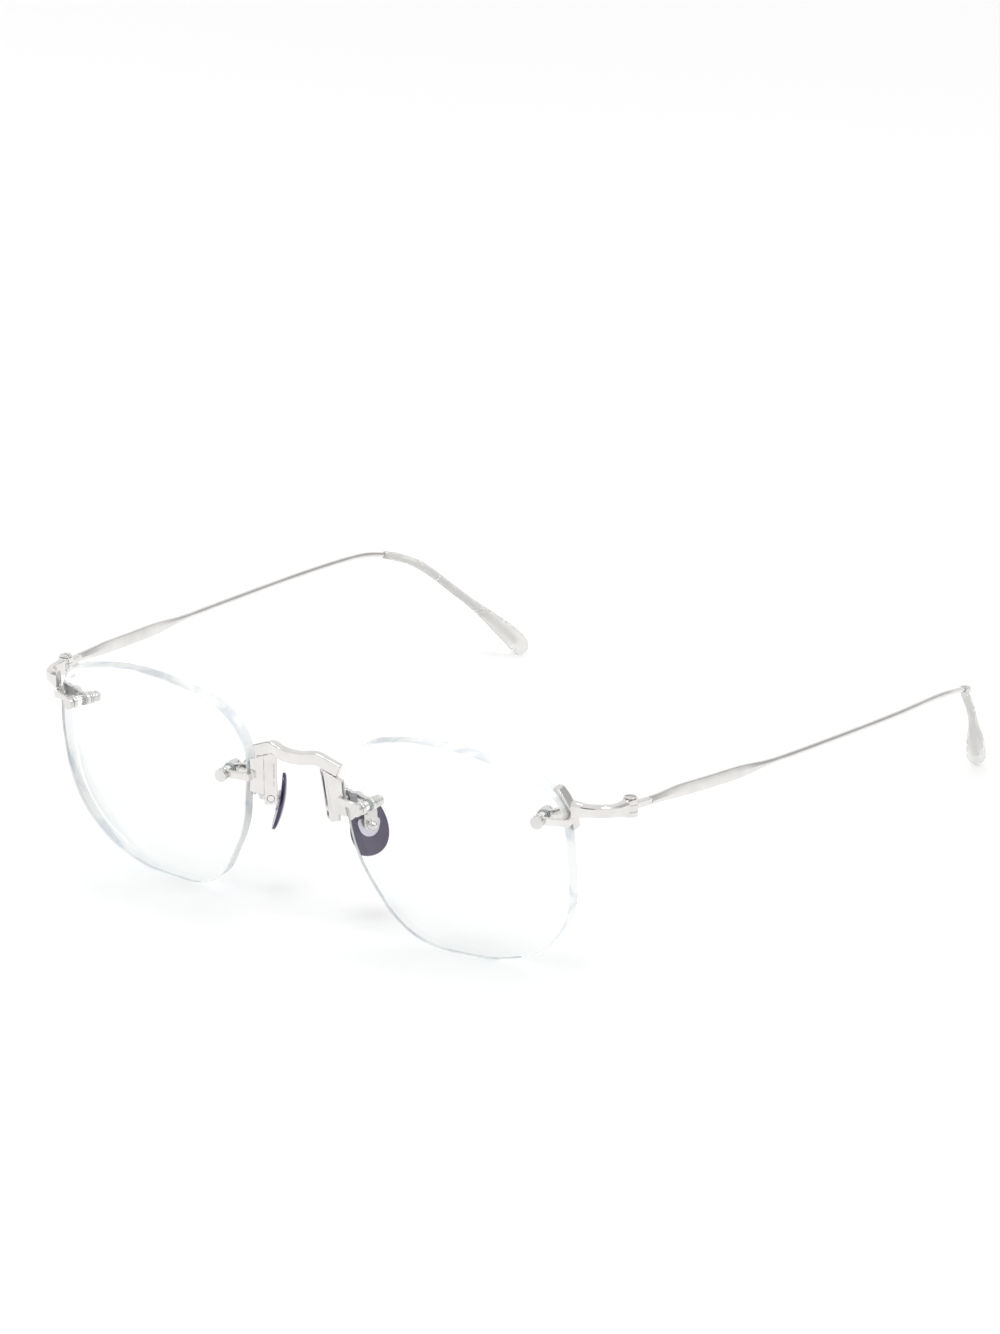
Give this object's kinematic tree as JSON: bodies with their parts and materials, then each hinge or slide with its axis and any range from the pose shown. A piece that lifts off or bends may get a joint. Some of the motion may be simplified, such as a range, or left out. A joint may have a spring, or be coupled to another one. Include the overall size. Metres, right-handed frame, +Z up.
{
  "type": "eyeglasses",
  "caption": "Rimless spectacles in polished metal: clamped and screwed clear lenses, bar bridge, rocking metal nose pads, thin folding temples with clear drop-shaped tips.",
  "frame": {"origin": "on the ground, below the middle of the bounding box", "axes": "+X towards the wearer's left, the lenses' fronts face -Y, the temples run back along +Y, +Z up"},
  "size_m": [0.1428, 0.1518, 0.0428],
  "materials": {
    "lens": "clear, coated against reflections",
    "frame_metal": "polished silver metal",
    "clear_tip": "clear plastic over the wire",
    "screw_metal": "satin steel",
    "pad_metal": "polished dark metal",
    "plate_metal": "satin pale metal",
    "bushing": "clear plastic"
  },
  "bodies": {
    "front": {"bridge": "frame_metal", "left_lens": "lens", "left_temporal_screw": "screw_metal", "left_temporal_bushing": "bushing", "left_temporal_washer": "screw_metal", "left_temporal_nut": "screw_metal", "left_temporal_clamp": "frame_metal", "left_nasal_screw": "screw_metal", "left_nasal_bushing": "bushing", "left_nasal_washer": "screw_metal", "left_nasal_nut": "screw_metal", "left_nasal_clamp": "frame_metal", "left_endpiece": "frame_metal", "left_hinge_screw": "screw_metal", "left_pad_post": "frame_metal", "left_pad_arm": "frame_metal", "right_lens": "lens", "right_temporal_screw": "screw_metal", "right_temporal_bushing": "bushing", "right_temporal_washer": "screw_metal", "right_temporal_nut": "screw_metal", "right_temporal_clamp": "frame_metal", "right_nasal_screw": "screw_metal", "right_nasal_bushing": "bushing", "right_nasal_washer": "screw_metal", "right_nasal_nut": "screw_metal", "right_nasal_clamp": "frame_metal", "right_endpiece": "frame_metal", "right_hinge_screw": "screw_metal", "right_pad_post": "frame_metal", "right_pad_arm": "frame_metal"},
    "left_temple": {"left_temple_hinge": "frame_metal", "left_temple": "frame_metal", "left_temple_tip": "clear_tip"},
    "left_pad": {"left_nose_pad": "pad_metal", "left_pad_plate": "plate_metal", "left_pad_ball": "screw_metal"},
    "right_temple": {"right_temple_hinge": "frame_metal", "right_temple": "frame_metal", "right_temple_tip": "clear_tip"},
    "right_pad": {"right_nose_pad": "pad_metal", "right_pad_plate": "plate_metal", "right_pad_ball": "screw_metal"}
  },
  "joints": [
    {"name": "left_temple_fold", "type": "hinge", "parent": "front", "child": "left_temple", "pos_m": [0.0657, -0.0597, 0.03345], "axis": [0, 0, 1], "range_deg": [0, 88]},
    {"name": "right_temple_fold", "type": "hinge", "parent": "front", "child": "right_temple", "pos_m": [-0.0657, -0.0597, 0.03345], "axis": [0, 0, -1], "range_deg": [0, 85]},
    {"name": "left_pad_rock", "type": "hinge", "parent": "front", "child": "left_pad", "pos_m": [0.01201, -0.06564, 0.02029], "axis": [0.5878, 0.809, 0], "range_deg": [-8, 8]},
    {"name": "right_pad_rock", "type": "hinge", "parent": "front", "child": "right_pad", "pos_m": [-0.01201, -0.06564, 0.02029], "axis": [0.5878, -0.809, 0], "range_deg": [-8, 8]}
  ]
}
